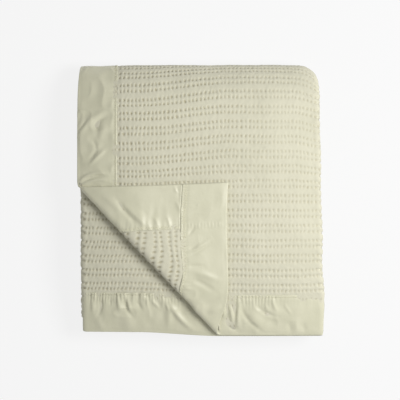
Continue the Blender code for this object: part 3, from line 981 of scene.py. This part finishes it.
def satin_height(binding, inward, along, face):
    """How far the satin's outside lies off the middle of the cloth, and its channel's width."""
    u, v = binding.place(inward, along)
    unclaimed, channel = 1.0, CHANNEL
    drawn = np.zeros(np.broadcast(u, v).shape)
    for zone in binding.zones:
        share = zone.where(u, v) * (face == zone.face)
        calm = 1 - WEAKENED * ease((along - zone.calm_from) / WEAKENS_OVER)
        drawn = drawn + share * calm * zone.gather * gathers(inward, along, zone.spacing, binding.seed)
        channel = channel + share * (zone.channel - CHANNEL)
        unclaimed = unclaimed * (1 - share)
    hidden = gathers(inward, along, HIDDEN_SPACING, binding.seed + 10)
    drawn = drawn + unclaimed * HIDDEN_GATHER * hidden
    drawn = drawn + BILLOW * smooth_noise(u, v, BILLOW_SIZE, binding.seed + 7)
    patches = ease(0.35 + 0.9 * smooth_noise(u, v, CRUMPLE_PATCH, binding.seed + 8))
    folded = 1 - 2 * np.abs(smooth_noise(u, v, CRUMPLE_SIZE, binding.seed + 9)) ** 0.8
    drawn = drawn + CRUMPLE * (1 - CALM_FLAP * on_flap(u, v)) * patches * folded
    from_sewn = BINDING - inward
    if binding.begin == 0:
        off_seam = BINDING - TUFTS_FROM_SEAM - np.minimum(along, FLAT_WIDTH - along)
        tufts = 0.75 + 0.5 * np.sin(2 * math.pi * inward / TUFT_SPACING)
        tufts = (tufts + 0.3 * smooth_noise(u, v, 3 * MM, 9)) * np.exp(-((off_seam / TUFT_HALF) ** 4))
        drawn = drawn + EMBOSSED * tufts * ease((inward - 3 * MM) / (6 * MM))
    height = blend(EDGE_RADIUS, PILLOW, ease((inward - EDGE_RADIUS) / PILLOW_RISE))
    flattened = 1 - ease((from_sewn - EDGE_RIDGE - channel) / (2.2 * MM))
    height = blend(height, SEWN_EDGE, flattened)
    pressed = ease((from_sewn - 0.5 * EDGE_RIDGE) / (1.2 * MM)) * flattened
    height = height - CHANNEL_DEPTH * pressed - SEWN_EDGE_DROP * (1 - ease(from_sewn / (0.8 * MM)))
    height = height + drawn * ease((inward - EDGE_RADIUS) / (4 * MM))
    if binding.begin > 0:
        from_ends = np.minimum(along - binding.begin, binding.finish - along)
        height = blend(height, SEWN_EDGE, 1 - ease(from_ends / (3 * MM)))
    return np.maximum(height, LEAST_SATIN), channel


def graded(low, high, fine_ranges):
    """Places from low to high, a step apart within the ranges and further apart elsewhere."""
    marks = [low]
    while marks[-1] < high - RIBBON_STEP:
        fine = any(begin <= marks[-1] < end for begin, end in fine_ranges)
        marks.append(marks[-1] + RIBBON_STEP * (1 if fine else COARSE_STEPS))
    marks[-1] = high
    return np.array(marks)


def make_binding(binding, finish):
    """A satin ribbon folded round an edge of the cloth, as one closed mesh."""
    along = graded(binding.begin, binding.finish, binding.shown)
    straight = np.linspace(EDGE_RADIUS, BINDING, cuts_between(EDGE_RADIUS, BINDING, RIBBON_STEP) + 1)
    turns = np.linspace(math.pi / 2, -math.pi / 2, WRAP_STEPS + 1)[1:-1]
    flat_part = np.zeros(len(straight))
    inward = np.concatenate((straight[::-1], EDGE_RADIUS * (1 - np.cos(turns)), straight))
    face = np.concatenate((flat_part + 1, np.zeros(len(turns)), flat_part - 1))
    round_h = np.concatenate((flat_part, EDGE_RADIUS * np.sin(turns), flat_part))
    round_in = np.concatenate((flat_part, SATIN * np.cos(turns), flat_part))
    shape = (len(inward), len(along))
    grid_in, grid_along = np.meshgrid(inward, along, indexing="ij")
    grid_face = np.broadcast_to(face[:, None], shape)
    height, _ = satin_height(binding, grid_in, grid_along, grid_face)
    rounded = grid_face == 0
    outer_h = np.where(rounded, round_h[:, None], grid_face * height)
    inner_h = np.where(rounded, outer_h * (1 - SATIN / EDGE_RADIUS), outer_h - grid_face * SATIN)
    surfaces = []
    for deep, offset in ((grid_in, outer_h), (grid_in + round_in[:, None], inner_h)):
        u, v = binding.place(deep, grid_along)
        core, normal = placed(u, v)
        surfaces.append((core + normal * offset[..., None]).reshape(-1, 3))
    count = shape[0] * shape[1]
    number = np.arange(count).reshape(shape)
    corners = (number[:-1, :-1], number[:-1, 1:], number[1:, 1:], number[1:, :-1])
    quads = np.stack(corners, -1).reshape(-1, 4)
    ring = np.concatenate((number[:-1, 0], number[-1, :-1], number[:0:-1, -1], number[0, :0:-1]))
    ahead = np.roll(ring, -1)
    rim = np.stack((ring, ahead, ahead + count, ring + count), -1)
    faces = np.concatenate((quads, quads[:, ::-1] + count, rim))
    a, b, c, _ = surfaces[0][quads[0]]
    if np.cross(b - a, c - a) @ normal[0, 0] < 0:
        faces = faces[:, ::-1]
    piece = new_piece("satin_" + binding.solid, np.concatenate(surfaces), faces.tolist(), finish)
    unrolled = np.cumsum(np.concatenate(([0], np.hypot(np.diff(inward), np.diff(round_h)))))
    flat = np.stack(np.meshgrid(unrolled, along, indexing="ij"), -1).reshape(-1, 2)
    loops = faces.reshape(-1)
    set_map(piece.data, "Weave", np.tile(flat, (2, 1))[loops])
    even = np.broadcast_to(np.linspace(*STRIP_ENDS, shape[1]), shape).reshape(-1)
    deep = STRIP_HEIGHT * flat[:, 0] / unrolled[-1]
    strips = [np.stack((even, start + deep), -1) for start in STRIP_STARTS]
    set_map(piece.data, "OFBake", np.concatenate(strips)[loops])
    return piece


def make_stitching(binding, finish):
    """The zigzag thread that holds a binding on, on both of its faces."""
    legs = int((binding.finish - binding.begin - STITCH) / (STITCH / 2))
    steps = np.arange(legs * LEG_STEPS + 1) / LEG_STEPS
    along = binding.begin + STITCH / 2 + steps * STITCH / 2
    swing = np.abs((steps % 2) - 1)
    surfaces, faces = [], []
    sides = np.arange(THREAD_SIDES)
    for face in (1, -1):
        _, channel = satin_height(binding, np.full_like(along, BINDING - STITCH_INSET), along, face)
        inward = BINDING - STITCH_INSET - swing * (channel + STITCH_SPARE)
        height, _ = satin_height(binding, inward, along, face)
        u, v = binding.place(inward, along)
        core, normal = placed(u, v)
        out = normal * face
        path = core + out * (height + THREAD_LIFT)[:, None]
        way = np.gradient(path, axis=0)
        aside = np.cross(way, out)
        aside /= np.linalg.norm(aside, axis=-1, keepdims=True)
        turn = 2 * math.pi * sides / THREAD_SIDES
        ring = np.cos(turn)[:, None] * aside[:, None] + np.sin(turn)[:, None] * out[:, None]
        base = sum(len(points) for points in surfaces)
        surfaces.append((path[:, None] + THREAD_RADIUS * ring).reshape(-1, 3))
        rings = base + np.arange(len(path) - 1)[:, None] * THREAD_SIDES
        first, second = rings + sides, rings + (sides + 1) % THREAD_SIDES
        quads = np.stack((first, second, second + THREAD_SIDES, first + THREAD_SIDES), -1)
        last = base + (len(path) - 1) * THREAD_SIDES
        ends = [(base + sides[::-1]).tolist(), (last + sides).tolist()]
        faces += quads.reshape(-1, 4).tolist() + ends
    return new_piece("stitching_" + binding.solid, np.concatenate(surfaces), faces, finish)


# ==== Materials ====


class Nodes:
    """A material's node tree, built by calls that return sockets."""

    def __init__(self, name):
        self.material = bpy.data.materials.new(name)
        self.material.use_nodes = True
        self.tree = self.material.node_tree
        self.shader = self.tree.nodes["Principled BSDF"]

    def node(self, kind, inputs=(), **settings):
        made = self.tree.nodes.new("ShaderNode" + kind)
        for name, value in settings.items():
            setattr(made, name, value)
        for name, value in dict(inputs).items():
            self.feed(made.inputs[name], value)
        return made

    def feed(self, socket, value):
        if isinstance(value, bpy.types.NodeSocket):
            self.tree.links.new(value, socket)
        else:
            socket.default_value = value

    def shade(self, inputs):
        for name, value in inputs.items():
            self.feed(self.shader.inputs[name], value)
        return self.material

    def math(self, operation, first, second=0.0):
        return self.node("Math", {0: first, 1: second}, operation=operation).outputs[0]

    def flat_place(self):
        place = self.node("UVMap", uv_map="Weave").outputs["UV"]
        parts = self.node("SeparateXYZ", {"Vector": place})
        return place, parts.outputs["X"], parts.outputs["Y"]

    def noise(self, place, per_metre, detail=2.0, roughness=0.5):
        inputs = {"Vector": place, "Scale": per_metre, "Detail": detail, "Roughness": roughness}
        return self.node("TexNoise", inputs).outputs["Fac"]

    def ranged(self, value, low, high, to_low, to_high, smooth=False):
        kind = "SMOOTHSTEP" if smooth else "LINEAR"
        inputs = {"Value": value, "From Min": low, "From Max": high, "To Min": to_low, "To Max": to_high}
        return self.node("MapRange", inputs, interpolation_type=kind).outputs["Result"]

    def mix(self, share, first, second):
        # Inputs 6 and 7 and output 2 are the node's sockets for colours.
        return self.node("Mix", {0: share, 6: first, 7: second}, data_type="RGBA").outputs[2]

    def bump(self, height, distance, strength, under=None):
        inputs = {"Height": height, "Distance": distance, "Strength": strength}
        if under is not None:
            inputs["Normal"] = under
        return self.node("Bump", inputs).outputs["Normal"]


def repeated(nodes, value, first, pitch):
    """How far a flat place is from the nearest of a row of evenly spaced lines, with its sign."""
    count = nodes.math("DIVIDE", nodes.math("SUBTRACT", value, first), pitch)
    off = nodes.math("SUBTRACT", count, nodes.math("ROUND", count))
    return nodes.math("MULTIPLY", off, pitch)


# Scales of noise across and along the cloth. It changes more slowly along, as yarns and floats do.
YARN_SCALE = (1.0, 0.35, 1.0)
FLOAT_SCALE = (1.0, 0.2, 1.0)
# A hole's painted shade is ragged: its dark edge strays from the hole's shape.
STRAY_U = 0.5 * MM  # how far a hole's dark edge strays from its shape, across and along
STRAY_V = 0.6 * MM


def hole_painted_shade(nodes, place, u, v):
    """How much painted shade a hole gets: 1 in the middle of an open hole and 0 off it, ragged at its edge.
    """
    stray_u = nodes.ranged(nodes.noise(place, 420.0), 0.3, 0.7, -STRAY_U, STRAY_U)
    stray_v = nodes.ranged(nodes.noise(place, 310.0), 0.3, 0.7, STRAY_V, -STRAY_V)
    off_hole = repeated(nodes, nodes.math("ADD", u, stray_u), FIRST_HOLE_U, HOLE_PITCH)
    off_band = repeated(nodes, nodes.math("ADD", v, stray_v), FIRST_BAND_V, BAND_PITCH)
    off_row = nodes.math("SUBTRACT", nodes.math("ABSOLUTE", off_band), ROW_OFFSET)
    reaches = []
    for off, half in ((off_hole, HOLE_HALF_WIDTH), (off_row, HOLE_HALF_LENGTH)):
        reaches.append(nodes.math("POWER", nodes.math("ABSOLUTE", nodes.math("DIVIDE", off, half)), 2.0))
    reach = nodes.math("SQRT", nodes.math("ADD", *reaches))
    hole = nodes.ranged(reach, 1.5, 0.4, 0.0, 1.0, smooth=True)
    uneven = nodes.ranged(nodes.noise(place, 190.0, 1.0), 0.35, 0.65, 0.55, 1.0)
    # How open a hole is sets how much painted shade it gets.
    openings = nodes.node("UVMap", uv_map="Openness").outputs["UV"]
    opened = nodes.node("SeparateXYZ", {"Vector": openings}).outputs["X"]
    return nodes.math("MULTIPLY", hole, nodes.math("MULTIPLY", uneven, opened))


def wool_material():
    nodes = Nodes("wool")
    place, u, v = nodes.flat_place()
    large = nodes.noise(place, 22.0, 2.0)
    tuft = nodes.noise(place, 900.0, 3.0, 0.7)
    plain = nodes.mix(nodes.ranged(large, 0.3, 0.7, 0.0, 1.0), WOOL_COLOUR, WOOL_SHADE)
    plain = nodes.mix(nodes.ranged(tuft, 0.35, 0.7, 0.0, 0.35), plain, WOOL_DEEP)
    stretched = nodes.node("Mapping", {"Vector": place, "Scale": YARN_SCALE}).outputs["Vector"]
    yarn = nodes.bump(nodes.noise(stretched, 1300.0, 2.0, 0.6), 0.45 * MM, 0.5)
    # The holes of the weave are painted with shade, darkest where they are most open.
    return nodes.shade({
        "Base Color": nodes.mix(hole_painted_shade(nodes, place, u, v), plain, HOLE_SHADE_COLOUR),
        "Roughness": nodes.ranged(tuft, 0.3, 0.7, 0.86, 1.0),
        "Normal": nodes.bump(nodes.noise(place, 2600.0, 2.0, 0.7), 0.2 * MM, 0.5, yarn),
        "Specular IOR Level": 0.15,
        "Sheen Weight": 0.15,
        "Sheen Roughness": 0.6,
    })


def satin_material():
    nodes = Nodes("satin")
    place, _, _ = nodes.flat_place()
    cloudy = nodes.ranged(nodes.noise(place, 35.0, 3.0), 0.3, 0.7, 0.0, 1.0)
    floats = nodes.node("Mapping", {"Vector": place, "Scale": FLOAT_SCALE}).outputs["Vector"]
    grain = nodes.noise(floats, 3200.0, 2.0)
    crumple = nodes.bump(nodes.noise(place, 95.0, 3.0, 0.55), 1.1 * MM, 0.35)
    return nodes.shade({
        "Base Color": nodes.mix(cloudy, SATIN_COLOUR, SATIN_SHADE),
        "Roughness": nodes.ranged(grain, 0.3, 0.7, 0.37, 0.49),
        "Normal": nodes.bump(grain, 0.06 * MM, 0.35, crumple),
        "Specular IOR Level": 0.5,
        "Sheen Weight": 0.08,
    })


def thread_material():
    nodes = Nodes("thread")
    place = nodes.node("TexCoord").outputs["Object"]
    shade = nodes.ranged(nodes.noise(place, 700.0), 0.35, 0.65, 0.0, 1.0)
    return nodes.shade({
        "Base Color": nodes.mix(shade, THREAD_COLOUR, THREAD_SHADE),
        "Normal": nodes.bump(nodes.noise(place, 2500.0), 0.15 * MM, 0.4),
        "Roughness": 0.6,
        "Sheen Weight": 0.1,
    })


WOOL_COLOUR = (0.665, 0.645, 0.510, 1)
WOOL_SHADE = (0.630, 0.612, 0.478, 1)
WOOL_DEEP = (0.560, 0.535, 0.405, 1)
# Painted shade for the holes, standing in for the shaded layer seen through them.
HOLE_SHADE_COLOUR = (0.430, 0.395, 0.270, 1)
SATIN_COLOUR = (0.655, 0.638, 0.480, 1)
SATIN_SHADE = (0.615, 0.602, 0.445, 1)
THREAD_COLOUR = (0.760, 0.735, 0.560, 1)
THREAD_SHADE = (0.660, 0.640, 0.470, 1)
FLOOR_COLOUR = (0.10, 0.10, 0.10, 1)
WHITE = (1, 1, 1, 1)

wool = wool_material()
satin = satin_material()
thread = thread_material()

cloth = make_cloth(wool)
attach(cloth, "root")
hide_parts("blanket_cloth")

for binding in BINDINGS:
    ribbon = make_binding(binding, satin)
    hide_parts(binding.solid)
    stitching = make_stitching(binding, thread)
    for piece in (ribbon, stitching):
        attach(piece, "root")

# ==== The floor, the light and the camera ====

FLOOR_REACH = 3.0
FLOOR_GLOW = 0.83  # the floor shows as nearly white, whatever light falls on it
STUDIO_LIGHT = 0.33
KEY_PLACE = (0.82, 0.09, 1.20)
KEY_SIZE = 0.6
KEY_WATTS = 18.2
CAMERA_X = 0.12 * MM
CAMERA_HEIGHT = 3.0
VIEW_WIDTH = 0.548
VIEWED_HEIGHT = 0.05  # the camera takes in VIEW_WIDTH at this height
SENSOR = 36

floor_mesh = bpy.data.meshes.new("floor")
floor_corners = [(x * FLOOR_REACH, y * FLOOR_REACH, 0) for x, y in ((-1, -1), (1, -1), (1, 1), (-1, 1))]
floor_mesh.from_pydata(floor_corners, [], [(0, 1, 2, 3)])
floor_inputs = {
    "Base Color": FLOOR_COLOUR,
    "Roughness": 0.9,
    "Specular IOR Level": 0.1,
    "Emission Color": WHITE,
    "Emission Strength": FLOOR_GLOW,
}
floor_mesh.materials.append(Nodes("pale_floor").shade(floor_inputs))
linked("floor", floor_mesh)

world = bpy.data.worlds.new("studio")
world.use_nodes = True
background = world.node_tree.nodes["Background"]
background.inputs["Color"].default_value = WHITE
background.inputs["Strength"].default_value = STUDIO_LIGHT
bpy.context.scene.world = world

key_data = bpy.data.lights.new("key", "AREA")
key_data.size = KEY_SIZE
key_data.energy = KEY_WATTS
key = linked("key", key_data)
key.location = KEY_PLACE
key.rotation_euler = (-Vector(KEY_PLACE)).to_track_quat("-Z", "Y").to_euler()

camera_data = bpy.data.cameras.new("camera")
camera_data.sensor_width = SENSOR
camera_data.lens = SENSOR * (CAMERA_HEIGHT - VIEWED_HEIGHT) / VIEW_WIDTH
camera = linked("camera", camera_data)
camera.location = (CAMERA_X, 0, CAMERA_HEIGHT)
bpy.context.scene.camera = camera
bpy.context.scene.view_settings.view_transform = "Standard"

bpy.context.view_layer.update()
